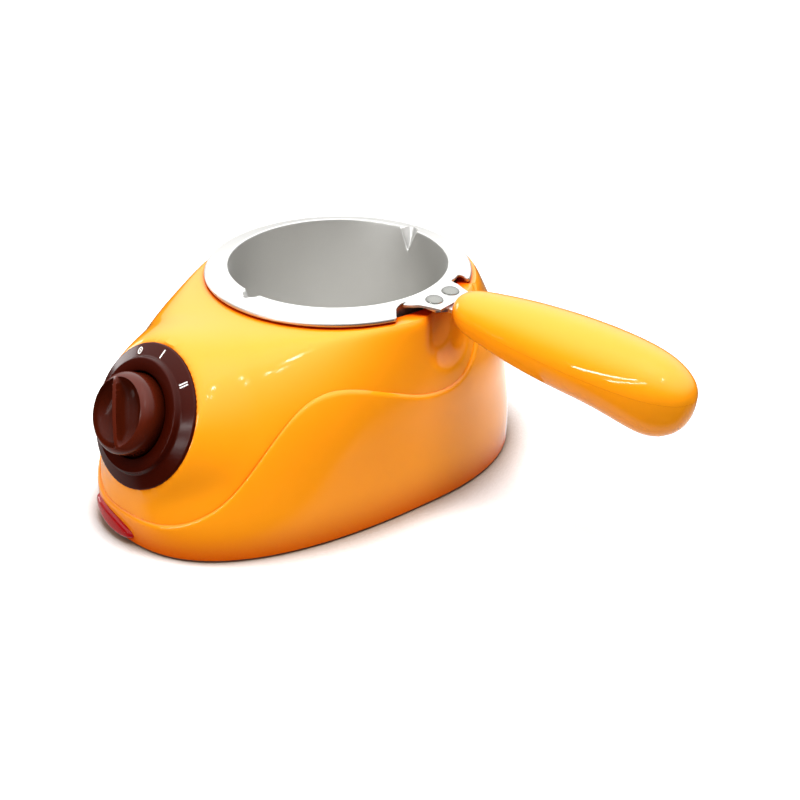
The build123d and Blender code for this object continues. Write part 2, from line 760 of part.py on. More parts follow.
os.makedirs("parts", exist_ok=True)
for name, shape in nodes.items():
    solids = []
    for piece in shape if isinstance(shape, list) else [shape]:
        solids += piece.solids()
    export_step(Compound(children=solids) if len(solids) > 1 else solids[0], f"parts/{name}.step")
    print(name, len(solids), round(sum(solid.volume for solid in solids)))
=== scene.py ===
# %% [markdown]
# # Looks for an electric chocolate melting pot
# The engineering parts come packed as one model, the frame. This lesson dresses that frame: it gives every
# visible surface a shape fine enough for a gloss finish, a material of its own and a soft studio to stand in.
# Lengths are written in millimetres, as on a drawing, and turned to metres when a mesh is made.

# %% Load the frame
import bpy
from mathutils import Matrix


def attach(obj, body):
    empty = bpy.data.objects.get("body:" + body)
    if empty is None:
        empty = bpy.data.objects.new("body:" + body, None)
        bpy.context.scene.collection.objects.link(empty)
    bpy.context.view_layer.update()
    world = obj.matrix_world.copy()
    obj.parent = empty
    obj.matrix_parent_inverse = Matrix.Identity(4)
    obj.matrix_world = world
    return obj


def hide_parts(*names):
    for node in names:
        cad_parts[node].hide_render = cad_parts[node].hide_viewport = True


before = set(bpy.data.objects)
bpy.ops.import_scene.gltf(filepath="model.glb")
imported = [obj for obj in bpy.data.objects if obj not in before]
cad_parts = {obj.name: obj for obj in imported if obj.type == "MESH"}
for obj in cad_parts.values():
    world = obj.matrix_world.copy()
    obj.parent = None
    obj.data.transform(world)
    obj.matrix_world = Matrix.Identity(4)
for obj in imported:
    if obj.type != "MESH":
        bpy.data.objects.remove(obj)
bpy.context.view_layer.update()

import math
import bmesh
import bpy
import numpy as np
from mathutils import Matrix, Vector

print("nodes loaded:", len(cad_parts))

# %% [markdown]
# ## Colours and nodes
# A colour is written as the hex code that a picture editor shows. Blender mixes light in linear values, so one
# function turns the code to linear. A second function adds a shader or geometry node with its settings and links,
# which keeps each material short enough to read as a list of what the surface does. Four short forms of it stand for
# the nodes that come up again and again: noise of a given size in millimetres, a value moved from one range to
# another, two colours mixed, and a sum or product.

# %% Colour and node helpers
MM = 0.001
PI2 = 2 * math.pi


def linear(code):
    values = [int(code[i:i + 2], 16) / 255 for i in (1, 3, 5)]
    return tuple(v / 12.92 if v <= 0.04045 else ((v + 0.055) / 1.055) ** 2.4 for v in values) + (1.0,)


def add(tree, kind, inputs=None, **settings):
    made = tree.nodes.new(kind)
    for name, value in settings.items():
        setattr(made, name, value)
    for key, value in (inputs or {}).items():
        if isinstance(value, bpy.types.NodeSocket):
            tree.links.new(value, made.inputs[key])
        else:
            made.inputs[key].default_value = value
    return made


def noise(tree, place, size_mm, detail=2.0):
    made = add(tree, "ShaderNodeTexNoise", {"Vector": place, "Scale": 1 / (size_mm * MM), "Detail": detail})
    return made.outputs["Fac"]


def ramp(tree, value, start, end, low, high, smooth=False):
    """Moves a value from the range start to end into the range low to high."""
    made = add(tree, "ShaderNodeMapRange", {
        "Value": value, "From Min": start, "From Max": end, "To Min": low, "To Max": high,
    }, interpolation_type="SMOOTHSTEP" if smooth else "LINEAR")
    return made.outputs["Result"]


def mix_colours(tree, factor, first, second):
    made = add(tree, "ShaderNodeMix", {"Factor": factor, "A": first, "B": second}, data_type="RGBA")
    return made.outputs["Result"]


def calculate(tree, operation, first, second):
    return add(tree, "ShaderNodeMath", {0: first, 1: second}, operation=operation).outputs["Value"]


def bump_from(tree, height, strength, depth_mm):
    made = add(tree, "ShaderNodeBump", {"Height": height, "Strength": strength, "Distance": depth_mm * MM})
    return made.outputs["Normal"]


def start_material(name):
    material = bpy.data.materials.new(name)
    material.use_nodes = True
    material.node_tree.nodes.clear()
    return material, material.node_tree


def end_material(tree, shader):
    add(tree, "ShaderNodeOutputMaterial", {"Surface": shader.outputs[0]})


# %% [markdown]
# ## Moulded plastics
# The shell and handle are injection moulded ABS: a warm orange that the mould's polish makes glossy. What the eye
# reads is a sharp reflection over a deep, slightly uneven colour, with a very faint orange peel of about 2 mm. A
# little light enters the plastic and comes out again. In hollows the plastic is lit mostly by itself and mirrors
# little of the room, so there the colour is mixed towards a deeper red as painted shade, and the mirror fades as a
# painted loss of reflection. An ambient occlusion node measures how open each point is. The dial and knob are
# phenolic, in two shades of brown.

# %% Gloss plastic
OPEN_REACH = 20 * MM


def gloss_plastic(name, main, second, painted_hollow_shade, roughness, shine, peel_mm, glow):
    material, tree = start_material(name)
    place = add(tree, "ShaderNodeTexCoord").outputs["Object"]
    drift = mix_colours(tree, noise(tree, place, 45, 3.0), linear(main), linear(second))
    openness = add(tree, "ShaderNodeAmbientOcclusion", {"Distance": OPEN_REACH}, samples=8).outputs["AO"]
    # painted shade: where the ambient occlusion finds a point closed in, the colour is mixed towards the deeper shade
    # colour
    colour = mix_colours(tree, ramp(tree, openness, 0.35, 0.95, 0.0, 1.0), linear(painted_hollow_shade), drift)
    shader = add(tree, "ShaderNodeBsdfPrincipled", {
        "Base Color": colour,
        "Roughness": ramp(tree, noise(tree, place, 18, 4.0), 0.0, 1.0, roughness * 0.8, roughness * 1.25),
        "IOR": 1.48,
        # painted shade of the mirror: the reflection fades where the point is closed in
        "Specular IOR Level": ramp(tree, openness, 0.5, 0.97, 0.0, shine),
        "Normal": bump_from(tree, noise(tree, place, peel_mm), 0.12, 0.03),
        "Subsurface Weight": glow,
        "Subsurface Scale": 2.5 * MM,
        "Subsurface Radius": (1.0, 0.45, 0.08),
    })
    end_material(tree, shader)
    return material


# The third colour of each finish is the painted shade mixed in where a hollow is closed in.
orange_abs = gloss_plastic("moulded_orange_ABS", "#FB9B15", "#FA9510", "#BE2A02", 0.075, 0.45, 2.2, 0.04)
brown_phenolic = gloss_plastic("moulded_brown_phenolic", "#3C0C03", "#300802", "#180301", 0.16, 0.12, 2.0, 0.0)
red_brown_phenolic = gloss_plastic(
    "moulded_red_brown_phenolic", "#551B0B", "#461407", "#2A0802", 0.16, 0.25, 2.0, 0.0)

# %% [markdown]
# The small inner mouldings are matt: nylon, ceramic and pressed mica scatter light, so they need a soft grain and
# no mirror at all. One recipe serves them with different colours and grain sizes.

# %% Matt mouldings
def matt_moulding(name, main, second, roughness, grain_mm, grain_height):
    material, tree = start_material(name)
    place = add(tree, "ShaderNodeTexCoord").outputs["Object"]
    grain = noise(tree, place, grain_mm, 5.0)
    shader = add(tree, "ShaderNodeBsdfPrincipled", {
        "Base Color": mix_colours(tree, grain, linear(main), linear(second)),
        "Roughness": roughness,
        "IOR": 1.5,
        "Normal": bump_from(tree, grain, 0.35, grain_height),
    })
    end_material(tree, shader)
    return material


black_nylon = matt_moulding("moulded_black_nylon", "#17171A", "#222226", 0.48, 0.9, 0.05)
white_nylon = matt_moulding("moulded_white_nylon", "#DAD6CB", "#CFCABD", 0.45, 0.9, 0.04)
fired_ceramic = matt_moulding("fired_ceramic", "#D5D0C8", "#C4BDB2", 0.7, 0.6, 0.06)
pressed_mica = matt_moulding("pressed_mica", "#A98D63", "#8C7148", 0.4, 3.5, 0.08)
moulded_rubber = matt_moulding("moulded_rubber", "#141414", "#1F1F20", 0.72, 0.7, 0.06)

# %% [markdown]
# ## Metals
# The pot is spun from aluminium sheet. The tool leaves fine rings about the axis, a fraction of a millimetre apart,
# so the reflection is stretched across them: the inside looks like soft grey satin and the flange nearly white.
# Plated steel, rivets and pressed sheet have no rings, only a faint rolled grain.

# %% Spun and rolled metal
def metal(tree, colour_code, rough, normal):
    shader = add(tree, "ShaderNodeBsdfPrincipled", {
        "Base Color": linear(colour_code), "Metallic": 1.0, "Roughness": rough, "Normal": normal,
    })
    end_material(tree, shader)


def spun_metal(name, colour_code, roughness, ring_mm, ring_height):
    """Rings about the axis: the noise runs along the distance from the axis less the height."""
    material, tree = start_material(name)
    place = add(tree, "ShaderNodeTexCoord").outputs["Object"]
    parts = add(tree, "ShaderNodeSeparateXYZ", {"Vector": place})
    flat = add(tree, "ShaderNodeCombineXYZ", {"X": parts.outputs["X"], "Y": parts.outputs["Y"]})
    reach = add(tree, "ShaderNodeVectorMath", {0: flat.outputs["Vector"]}, operation="LENGTH")
    path = calculate(tree, "SUBTRACT", reach.outputs["Value"], parts.outputs["Z"])
    along = add(tree, "ShaderNodeCombineXYZ", {"X": path})
    rings = noise(tree, along.outputs["Vector"], ring_mm, 3.0)
    rough = ramp(tree, noise(tree, place, 22, 3.0), 0.0, 1.0, roughness * 0.85, roughness * 1.15)
    metal(tree, colour_code, rough, bump_from(tree, rings, 0.35, ring_height))
    return material


def rolled_metal(name, colour_code, roughness, grain_mm):
    """A grain that is twelve times longer along X than across."""
    material, tree = start_material(name)
    place = add(tree, "ShaderNodeTexCoord").outputs["Object"]
    stretched = add(tree, "ShaderNodeMapping", {"Vector": place, "Scale": (1.0, 12.0, 12.0)})
    grain = noise(tree, stretched.outputs["Vector"], 12 * grain_mm, 3.0)
    rough = ramp(tree, grain, 0.0, 1.0, roughness * 0.8, roughness * 1.2)
    metal(tree, colour_code, rough, bump_from(tree, grain, 0.2, 0.02))
    return material


spun_aluminium = spun_metal("spun_aluminium", "#D2D1CE", 0.45, 0.5, 0.02)
turned_aluminium = spun_metal("turned_aluminium", "#C6C6C6", 0.28, 0.8, 0.03)
pressed_aluminium = rolled_metal("pressed_aluminium", "#CBCBCC", 0.3, 0.5)
plated_steel = rolled_metal("zinc_plated_steel", "#BEBEC1", 0.24, 0.5)
rivet_aluminium = rolled_metal("rivet_aluminium", "#83837F", 0.22, 0.5)

# %% [markdown]
# ## Lamp
# The lens is clear red acrylic in front of a small neon tube. It is so deep in colour that most light is lost
# inside; a faint glow of its own stands for the lamp behind it. Printed marks on the dial are white pad-print ink.

# %% Lens, glass and ink
def red_acrylic():
    material, tree = start_material("clear_red_acrylic")
    place = add(tree, "ShaderNodeTexCoord").outputs["Object"]
    shader = add(tree, "ShaderNodeBsdfPrincipled", {
        "Base Color": mix_colours(tree, noise(tree, place, 6), linear("#BC0006"), linear("#940004")),
        "Roughness": 0.06,
        "IOR": 1.45,
        "Specular IOR Level": 0.2,
        "Transmission Weight": 0.3,
        "Emission Color": linear("#B80006"),
        "Emission Strength": 0.10,
    })
    end_material(tree, shader)
    return material


def lamp_glass():
    material, tree = start_material("drawn_glass")
    layer = add(tree, "ShaderNodeLayerWeight", {"Blend": 0.4})
    shader = add(tree, "ShaderNodeBsdfPrincipled", {
        "Base Color": mix_colours(tree, layer.outputs["Facing"], linear("#FFB07A"), linear("#E8E2DA")),
        "Roughness": 0.05,
        "IOR": 1.5,
        "Transmission Weight": 0.8,
    })
    end_material(tree, shader)
    return material


clear_red_acrylic = red_acrylic()
drawn_glass = lamp_glass()
white_ink = matt_moulding("printed_white_ink", "#F4EFEA", "#E6E0DA", 0.4, 0.5, 0.02)

# %% [markdown]
# ## Making a mesh
# The large forms follow rules that can be written as a height or radius for each point, so they are made as grids of
# points rather than by hand. The helper below takes points in millimetres, merges what meets, turns the faces
# outwards and hides the CAD node that the piece stands for.

# %% Mesh helper
def make_piece(name, points, faces, material, body, nodes=(), smooth_below=40):
    mesh = bpy.data.meshes.new(name)
    mesh.from_pydata([tuple(float(c) * MM for c in p) for p in points], [], faces)
    work = bmesh.new()
    work.from_mesh(mesh)
    bmesh.ops.remove_doubles(work, verts=work.verts, dist=0.002 * MM)
    bmesh.ops.dissolve_degenerate(work, edges=work.edges, dist=0.001 * MM)
    bmesh.ops.recalc_face_normals(work, faces=work.faces)
    for face in work.faces:
        face.smooth = True
    for edge in work.edges:
        if len(edge.link_faces) == 2 and edge.calc_face_angle(0) > math.radians(smooth_below):
            edge.smooth = False
    work.to_mesh(mesh)
    work.free()
    obj = bpy.data.objects.new(name, mesh)
    bpy.context.scene.collection.objects.link(obj)
    mesh.materials.append(material)
    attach(obj, body)
    if nodes:
        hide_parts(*nodes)
    print(name, "faces:", len(mesh.polygons))
    return obj


def grid_faces(rows, columns, start=0, round_columns=True):
    faces = []
    for r in range(rows - 1):
        for c in range(columns if round_columns else columns - 1):
            d = (c + 1) % columns
            a, b = start + r * columns, start + (r + 1) * columns
            faces.append((a + c, a + d, b + d, b + c))
    return faces


def through(knots, values, at):
    """A smooth curve through the values (a natural cubic spline)."""
    knots, values = np.asarray(knots, float), np.asarray(values, float)
    step = np.diff(knots)
    size = len(knots)
    system, right = np.eye(size), np.zeros(size)
    for i in range(1, size - 1):
        system[i, i - 1:i + 2] = step[i - 1], 2 * (step[i - 1] + step[i]), step[i]
        right[i] = 6 * ((values[i + 1] - values[i]) / step[i] - (values[i] - values[i - 1]) / step[i - 1])
    second = np.linalg.solve(system, right)
    at = np.asarray(at, float)
    k = np.clip(np.searchsorted(knots, at) - 1, 0, size - 2)
    a, b, h = knots[k + 1] - at, at - knots[k], step[k]
    return (second[k] * a**3 + second[k + 1] * b**3) / (6 * h) + (values[k] / h - second[k] * h / 6) * a \
        + (values[k + 1] / h - second[k + 1] * h / 6) * b


def ease(low, high, value):
    t = np.clip((np.asarray(value, float) - low) / (high - low), 0, 1)
    return t * t * (3 - 2 * t)


# %% [markdown]
# ## The egg-shaped shell
# The base is one moulding. Seen from above each level is an egg: a rounder end under the pot and a longer end under
# the dial. A table gives the half width, rear reach and front reach at seven heights, and a smooth curve joins them.
# Polar angles about the pot's axis give each egg in one formula, so a point is found from an angle and a height.

# %% Egg sections
FOOT, LIP = 1.0, 82.6
TOP_WIDTH, TOP_FRONT = 56.9, 59.0
BASE_WIDTH, BASE_REAR, BASE_FRONT = 60.0, 77.5, 113.2
SECTIONS = np.array([
    (0.000, 0.90, 0.98, 0.985, 2.20, 2.50),
    (0.130, 1.00, 1.00, 1.000, 2.20, 2.50),
    (0.330, 0.98, 0.95, 0.970, 2.18, 2.42),
    (0.6227, 0.87, 0.74, 0.818, 2.12, 2.22),
    (0.900, 0.55, 0.26, 0.572, 2.00, 1.75),
    (0.968, 0.42, 0.09, 0.323, 2.00, 1.75),
    (1.000, 0.00, 0.00, 0.000, 2.00, 2.00),
])
height_rows = FOOT + (LIP - FOOT) * SECTIONS[:, 0]
width_rows = TOP_WIDTH + (BASE_WIDTH - TOP_WIDTH) * SECTIONS[:, 1]
rear_rows = TOP_WIDTH + (BASE_REAR - TOP_WIDTH) * SECTIONS[:, 2]
front_rows = TOP_FRONT + (BASE_FRONT - TOP_FRONT) * SECTIONS[:, 3]
path = np.concatenate([[0], np.cumsum(np.hypot(np.diff(height_rows), np.diff((rear_rows + front_rows) / 2)))])
path /= path[-1]


def egg_point(angle, t, grow):
    """A point of the egg at a polar angle, t of the way from the foot to the lip."""
    height = through(path, height_rows, t)
    half_width = through(path, width_rows, t) + grow
    rear = through(path, rear_rows, t) + grow
    front = through(path, front_rows, t) + grow
    rear_power = through(path, SECTIONS[:, 4], t)
    front_power = through(path, SECTIONS[:, 5], t)
    behind = np.sin(angle) >= 0
    reach, power = np.where(behind, rear, front), np.where(behind, rear_power, front_power)
    radius = (np.abs(np.cos(angle) / half_width) ** power + np.abs(np.sin(angle) / reach) ** power) ** (-1 / power)
    return radius * np.cos(angle), radius * np.sin(angle), height


# %% [markdown]
# A wave is moulded along each side: below it the wall stands a millimetre proud, with a rounded edge that catches
# the light. To keep that edge crisp, one row of the grid is laid exactly on the wave. For every angle a search finds
# the height where the wall meets the wave, and the other rows share the space above and below it.

# %% Wave along the sides
WAVE = np.array([
    (-118, 12.2), (-111, 14.4), (-102, 19.6), (-92.6, 27.4), (-83, 38.2), (-72.6, 49.8), (-61.8, 59.0),
    (-52, 62.9), (-43, 62.9), (-31, 59.6), (-20, 55.5), (-8, 51.2), (4, 49.4), (13, 50.4),
    (20, 54.0), (26, 61.0), (31, 72.0), (35, 86.0), (38, 100.0),
])
STEP = 1.1
EDGE_ROUND = [
    (2.6, 0.0), (1.9, -0.01), (1.35, -0.06), (0.9, -0.17), (0.55, -0.36), (0.28, -0.6), (0.12, -0.85), (0.0, -STEP),
]


def wave_height(y):
    front_end, rear_end = WAVE[0, 0], WAVE[-1, 0]
    return np.where(y > rear_end, WAVE[-1, 1], through(WAVE[:, 0], WAVE[:, 1], np.clip(y, front_end, rear_end)))


def wave_share(angle):
    low, high = np.full_like(angle, 0.02), np.ones_like(angle)
    for _ in range(40):
        middle = (low + high) / 2
        x, y, z = egg_point(angle, middle, 0.0)
        above = z > wave_height(y)
        high, low = np.where(above, middle, high), np.where(above, low, middle)
    return (low + high) / 2


def column_angles():
    """Angles with a close spacing along the wave and by the handle, and a wider one elsewhere."""
    fine = np.linspace(-math.pi, math.pi, 7201)
    x, y, z = egg_point(fine, np.full_like(fine, 0.3), 0.0)
    along = np.hypot(np.diff(x), np.diff(y))
    middle_y, middle_x = (y[1:] + y[:-1]) / 2, (x[1:] + x[:-1]) / 2
    spacing = np.where(middle_y > 44, 2.6, 1.15)
    spacing = np.where((middle_y > 14) & (middle_y < 40), 0.6, spacing)
    spacing = np.where((middle_x > 0) & (middle_y > -14) & (middle_y < 36), 0.6, spacing)
    need = np.concatenate([[0], np.cumsum(along / spacing)])
    count = int(need[-1])
    return np.interp(np.arange(count) * need[-1] / count, need, fine)


# %% [markdown]
# Two places are pressed into the egg. The dial sits on a flat that slopes back, and a scoop beside the handle leaves
# room for its root. Each is written as a limit: the point's distance along one axis is held back to a plane, and the
# scoop's limit fades in over a few millimetres so that its rim stays soft.

# %% Dial seat and scoop
TILT = math.radians(25.3)
DIAL_ORIGIN = np.array((0.0, -100.24, 51.81))
DIAL_X, DIAL_Y = np.array((1.0, 0, 0)), np.array((0, math.sin(TILT), math.cos(TILT)))
DIAL_Z = np.array((0, -math.cos(TILT), math.sin(TILT)))
AZIMUTH, DROOP = math.radians(9.5), math.radians(4.5)
SCOOP_FLOOR, SCOOP_HALF, SCOOP_LOW = 53.4, 11.0, 60.0
PAD = 29.4


def seat(points, inwards):
    """Cuts the nose flat behind the dial and draws the wall beside it up to the same plane."""
    local = points - DIAL_ORIGIN
    a, b, h = local @ DIAL_X, local @ DIAL_Y, local @ DIAL_Z + inwards
    reach = np.hypot(a, b) + inwards
    fade_end = PAD + 5 + 9 * ease(-0.95, -0.1, b / np.maximum(reach, 1))
    drawn = np.clip((fade_end - reach) / (fade_end - PAD), 0, 1) ** 2 * ease(-60, -66, points[:, 1])
    drawn = drawn * ease(-40, -14, h)
    lift = np.where(h > 0, -h, -h * drawn)
    return points + np.outer(lift * (points[:, 1] < -50), DIAL_Z)


def scoop(points, inwards):
    """Presses the groove beside the handle's root, with a soft rim."""
    outward = np.array((math.cos(AZIMUTH), math.sin(AZIMUTH), 0))
    side = np.array((-math.sin(AZIMUTH), math.cos(AZIMUTH), 0))
    u, v, z = points @ outward, points @ side, points[:, 2]
    round_end = SCOOP_LOW + SCOOP_HALF
    edge = np.where(z < round_end, np.hypot(v, z - round_end), np.abs(v)) - SCOOP_HALF - inwards
    depth = ease(4.0, -6.0, edge) * np.maximum(u - (SCOOP_FLOOR - inwards), 0) * (u > 20)
    return points - np.outer(depth, outward)


def hold_back(points, inwards):
    return scoop(seat(points, inwards), inwards)


# %% [markdown]
# The rows of the grid now run up the outside, over the lip into the opening for the pot, down the inside and back
# along the foot. Where the wave has run out at the top, the step beside it is left out.

# %% Shell mesh
OPENING_R, WALL, WALL_TOP = 49.0, 3.5, 2.4


def ring_at(angles, radius, height):
    return np.stack([radius * np.cos(angles), radius * np.sin(angles), 0 * angles + height], -1)


def shell_grid():
    angles = column_angles()
    share = wave_share(angles)
    x, y, z = egg_point(angles, share, 0.0)
    run = np.hypot(np.roll(x, -1) - np.roll(x, 1), np.roll(y, -1) - np.roll(y, 1))
    slope = np.abs(np.roll(z, -1) - np.roll(z, 1)) / run
    per_mm = np.sqrt(1 + np.clip(slope, 0, 3) ** 2) / (LIP - FOOT) * 0.85
    gone = share > 0.995
    rows, lower, upper = [], 40, 34
    first = np.maximum(share - EDGE_ROUND[0][0] * per_mm, 0.015)
    for k in range(lower):
        rows.append((first * k / lower, np.zeros_like(share)))
    for below, offset in EDGE_ROUND:
        near_wave = np.maximum(share - below * per_mm, 0.016)
        rows.append((np.where(gone, share, near_wave), np.where(gone, 0.0, offset)))
    for k in range(1, upper + 1):
        rows.append((share + (1 - share) * (k / upper) ** 0.9, np.where(gone, 0.0, -STEP)))
    outer = [hold_back(np.stack(egg_point(angles, t, offset), -1), 0.0) for t, offset in rows]
    rim = [outer[-1] - ring_at(angles, 0.5, 0.0) + (0, 0, 0.16)]
    for radius, height in ((OPENING_R + 0.6, 0.1), (OPENING_R, -0.4), (OPENING_R, -WALL_TOP)):
        rim.append(ring_at(angles, radius, LIP + height))
    inner = []
    for t in np.linspace(0.97, 0.06, 14):
        level = np.stack(egg_point(angles, np.full_like(angles, t), -WALL), -1)
        inner.append(hold_back(level - (0, 0, WALL_TOP), WALL_TOP))
    foot = np.stack(egg_point(angles, np.zeros_like(angles), -WALL), -1)
    everything = outer + rim + inner + [foot]
    count = len(angles)
    faces = grid_faces(len(everything), count)
    last = (len(everything) - 1) * count
    faces += [(last + c, last + (c + 1) % count, (c + 1) % count, c) for c in range(count)]
    return np.concatenate(everything), faces


shell_points, shell_faces = shell_grid()
make_piece("shell", shell_points, shell_faces, orange_abs, "base", ["upper_shell"], 30)

# %% [markdown]
# ## Turned pieces
# Dial, knob, pot and handle are all turned about an axis. A lathe function takes an outline of radius and height,
# rounds its corners and turns it. A frame, that is an origin and three directions, then puts it in place.

# %% Lathe
def soften(outline, radius, steps=4):
    """Rounds each inner corner of an open outline."""
    outline = [np.array(p, float) for p in outline]
    made = [outline[0]]
    for before, corner, after in zip(outline, outline[1:], outline[2:]):
        reach = min(radius, 0.45 * np.linalg.norm(before - corner), 0.45 * np.linalg.norm(after - corner))
        start = corner + (before - corner) / max(np.linalg.norm(before - corner), 1e-9) * reach
        end = corner + (after - corner) / max(np.linalg.norm(after - corner), 1e-9) * reach
        for k in range(steps + 1):
            t = k / steps
            made.append((1 - t) ** 2 * start + 2 * t * (1 - t) * corner + t * t * end)
    return made + [outline[-1]]


def lathe(outline, segments):
    turns = np.linspace(0.0, PI2, segments, endpoint=False)
    points = [(r * math.cos(a), r * math.sin(a), h) for r, h in outline for a in turns]
    return np.array(points), grid_faces(len(outline), segments)


def place(points, origin, *axes):
    return np.asarray(origin) + sum(np.outer(points[:, k], axis) for k, axis in enumerate(axes))


def on_dial(points):
    return place(points, DIAL_ORIGIN, DIAL_X, DIAL_Y, DIAL_Z)


# %% [markdown]
# ## Dial plate
# The dial is a stepped ring of brown phenolic. Its outer face slopes and carries the marks, a raised step stands
# inside it and the knob sinks into a recess in that step. It lies flat on the seat of the shell.

# %% Dial plate
DIAL_R, TIER_R, TIER_H, CONE_H, CONE_RISE, RECESS_H, KNOB_R = 29.0, 22.6, 5.6, 1.0, 2.2, 2.4, 16.4
TIER_FOOT = TIER_R + 0.8
dial_outline = [
    (0, 2.3), (4.9, 2.3), (4.9, RECESS_H), (KNOB_R + 0.7, RECESS_H), (KNOB_R + 0.7, TIER_H), (TIER_R, TIER_H),
    (TIER_FOOT, CONE_H + CONE_RISE), (DIAL_R, CONE_H), (DIAL_R, -0.4), (0, -0.4),
]
dial_points, dial_faces = lathe(soften(dial_outline, 0.6), 160)
make_piece("dial", on_dial(dial_points), dial_faces, brown_phenolic, "base", ["dial_plate"])

# %% [markdown]
# ## Knob
# The knob is a drum with a nearly flat crown and a well rounded edge. A hollow is sunk each side of its middle, and
# what is left between them is the blade that the fingers turn. It stands 28 degrees round from the top of the dial.

# %% Knob
KNOB_LOW, KNOB_HIGH, KNOB_EDGE, REST_TURN = 2.9, 16.3, 4.6, math.radians(28)
POCKET, BLADE_HALF, RIM_WIDTH = 7.0, 1.1, 2.6


def hollow(distance, reach):
    """0 at the edge of a hollow and 1 on its floor, along a quarter of an ellipse."""
    return math.sqrt(1 - (1 - min(max(distance / reach, 0), 1)) ** 2)


def knob_surface():
    """The front is a height field over the knob's circle: a flat crown with a hollow each side of a blade."""
    rings, segments = 72, 192
    points = []
    for k in range(rings + 1):
        radius = KNOB_R * k / rings
        for s in range(segments):
            angle = PI2 * s / segments
            x, y = radius * math.cos(angle), radius * math.sin(angle)
            inset = KNOB_R - radius
            drop = KNOB_EDGE - math.sqrt(max(KNOB_EDGE**2 - max(KNOB_EDGE - inset, 0) ** 2, 0))
            crown = KNOB_HIGH - 0.9 * (radius / KNOB_R) ** 2 - drop
            from_blade, from_rim = abs(x) - BLADE_HALF, inset - RIM_WIDTH
            depth = (POCKET + crown - KNOB_HIGH) * hollow(from_blade, 5.5) * hollow(from_rim, 7.5)
            points.append((x, y, crown - max(depth, 0)))
    faces = grid_faces(rings + 1, segments)
    base = len(points)
    for radius, height in ((KNOB_R, KNOB_LOW + 0.4), (KNOB_R - 0.4, KNOB_LOW), (0, KNOB_LOW)):
        for s in range(segments):
            angle = PI2 * s / segments
            points.append((radius * math.cos(angle), radius * math.sin(angle), height))
    faces += grid_faces(4, segments, base - segments)
    turned = np.array(points)
    c, s = math.cos(REST_TURN), math.sin(REST_TURN)
    turned = np.stack([turned[:, 0] * c - turned[:, 1] * s, turned[:, 0] * s + turned[:, 1] * c, turned[:, 2]], -1)
    return on_dial(turned), faces


knob_points, knob_faces = knob_surface()
make_piece("knob_grip", knob_points, knob_faces, red_brown_phenolic, "knob", ["knob"], 50)

# %% [markdown]
# ## Marks on the dial
# Off, low and high are pad-printed in white: a small ring with a stroke, one bar and two bars. Each mark is a film a
# twentieth of a millimetre thick that lies on the sloping face.

# %% Printed marks
CONE_SLOPE = CONE_RISE / (TIER_FOOT - DIAL_R)
INK_TOP, INK_LOW = 0.05, -0.1


def on_cone(clockwise, radius, across, along, lift):
    """A point of the sloping face, from a mark's place and the offsets across and along its radius."""
    turn = math.radians(clockwise)
    out, side = np.array((math.sin(turn), math.cos(turn))), np.array((math.cos(turn), -math.sin(turn)))
    flat = out * (radius + along) + side * across
    height = CONE_H + CONE_SLOPE * (np.hypot(*flat) - DIAL_R) + lift
    return (flat[0], flat[1], height)


def mark_strip(clockwise, radius, path_points, width):
    points, faces = [], []
    path_points = [np.array(p, float) for p in path_points]
    for i, here in enumerate(path_points):
        ahead = path_points[min(i + 1, len(path_points) - 1)] - path_points[max(i - 1, 0)]
        normal = np.array((-ahead[1], ahead[0])) / np.linalg.norm(ahead) * width / 2
        for side, lift in ((1, INK_TOP), (-1, INK_TOP), (-1, INK_LOW), (1, INK_LOW)):
            across, along = here + side * normal
            points.append(on_cone(clockwise, radius, across, along, lift))
    for i in range(len(path_points) - 1):
        for k in range(4):
            a, b = 4 * i + k, 4 * i + (k + 1) % 4
            faces.append((a, b, b + 4, a + 4))
    faces += [(0, 1, 2, 3), tuple(len(points) - 4 + k for k in (3, 2, 1, 0))]
    return points, faces


mark_points, mark_faces = [], []
ring = [(1.05 * math.cos(PI2 * k / 20), 1.25 * math.sin(PI2 * k / 20)) for k in range(21)]
OFF_TURN, LOW_TURN, HIGH_TURN, OFF_R, BAR_R = -28, 2, 43, 25.9, 25.8
strokes = [
    (OFF_TURN, OFF_R, ring, 0.45), (OFF_TURN, OFF_R, [(0, -0.6), (0, 0.6)], 0.4),
    (LOW_TURN, BAR_R, [(0, -1.8), (0, 1.8)], 0.6),
]
strokes += [(HIGH_TURN, BAR_R, [(side, -1.7), (side, 1.7)], 0.55) for side in (-0.55, 0.55)]
for clockwise, radius, stroke, width in strokes:
    made_points, made_faces = mark_strip(clockwise, radius, stroke, width)
    mark_faces += [tuple(i + len(mark_points) for i in face) for face in made_faces]
    mark_points += made_points
make_piece("dial_marks", on_dial(np.array(mark_points)), mark_faces, white_ink, "base", smooth_below=30)

# %% [markdown]
# ## Lamp lens
# The lens is a long flat oval of red acrylic that follows the curve of the shell's front edge and stands two
# millimetres proud of it, with a rounded rim.

# %% Lamp lens
LENS_X, LENS_Z, LENS_FALL = -11.0, 6.4, math.radians(9)
LENS_HALF, LENS_TALL, LENS_PROUD, LENS_BACK, FRONT_POWER = 15.4, 3.7, 2.0, 3.0, 2.5


def lens_grid():
    rings, segments = 14, 96
    points = []
    for k in range(rings + 1):
        share = k / rings
        bulge = LENS_PROUD * (1 - share**6) ** 0.5
        for s in range(segments):
            angle = PI2 * s / segments
            along, high = LENS_HALF * share * math.cos(angle), LENS_TALL * share * math.sin(angle)
            x = LENS_X + along * math.cos(LENS_FALL) + high * math.sin(LENS_FALL)
            z = LENS_Z - along * math.sin(LENS_FALL) + high * math.cos(LENS_FALL)
            front = BASE_FRONT * (1 - abs(x / BASE_WIDTH) ** FRONT_POWER) ** (1 / FRONT_POWER)
            points.append((x, -(front + bulge - 0.2), z))
    faces = grid_faces(rings + 1, segments)
    base = len(points)
    points += [(x, y + LENS_BACK, z) for x, y, z in points[base - segments:]]
    points += [(LENS_X, -BASE_FRONT + LENS_BACK, LENS_Z)] * segments
    return np.array(points), faces + grid_faces(3, segments, base - segments)


